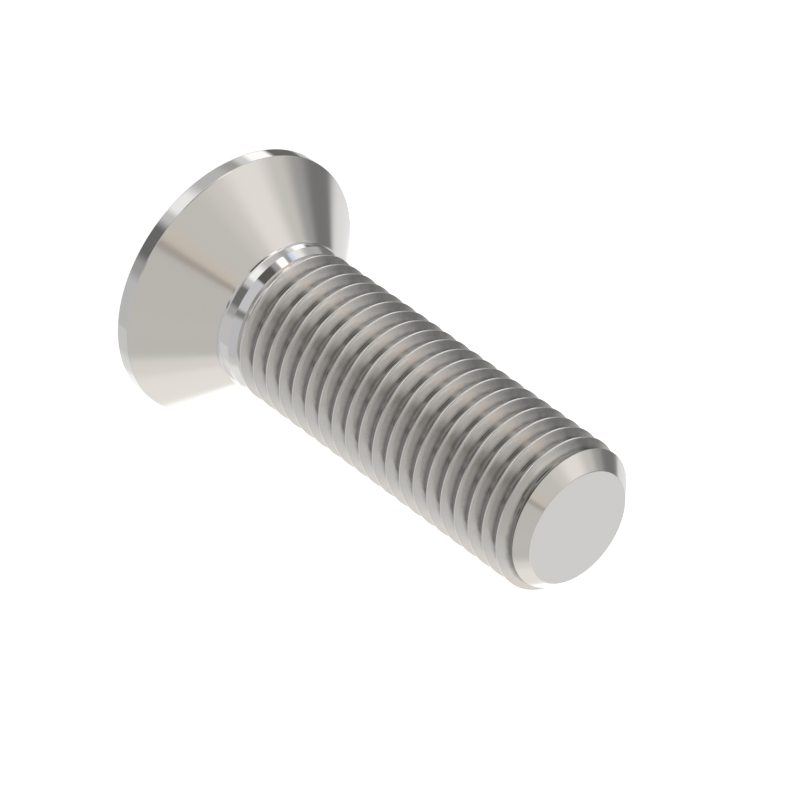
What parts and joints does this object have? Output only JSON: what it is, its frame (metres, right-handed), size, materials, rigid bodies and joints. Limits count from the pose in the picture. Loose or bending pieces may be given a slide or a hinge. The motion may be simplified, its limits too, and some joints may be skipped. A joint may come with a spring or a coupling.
{
  "type": "countersunk head screw",
  "caption": "Countersunk screw with a flat-topped conical head, a hexagon socket, a right-hand thread up to the head and a chamfered point.",
  "frame": {"origin": "Centre of the head's flat face, which the screw stands on.", "axes": "+Z runs along the shank from the head to the tip. +X points at a corner of the hexagon socket. -Y faces the camera of the picture."},
  "size_m": [0.036, 0.036, 0.065],
  "materials": {
    "stainless_steel": "turned and rolled, bright, with fine machining lines"
  },
  "bodies": {
    "root": {"screw": "stainless_steel"}
  },
  "joints": []
}
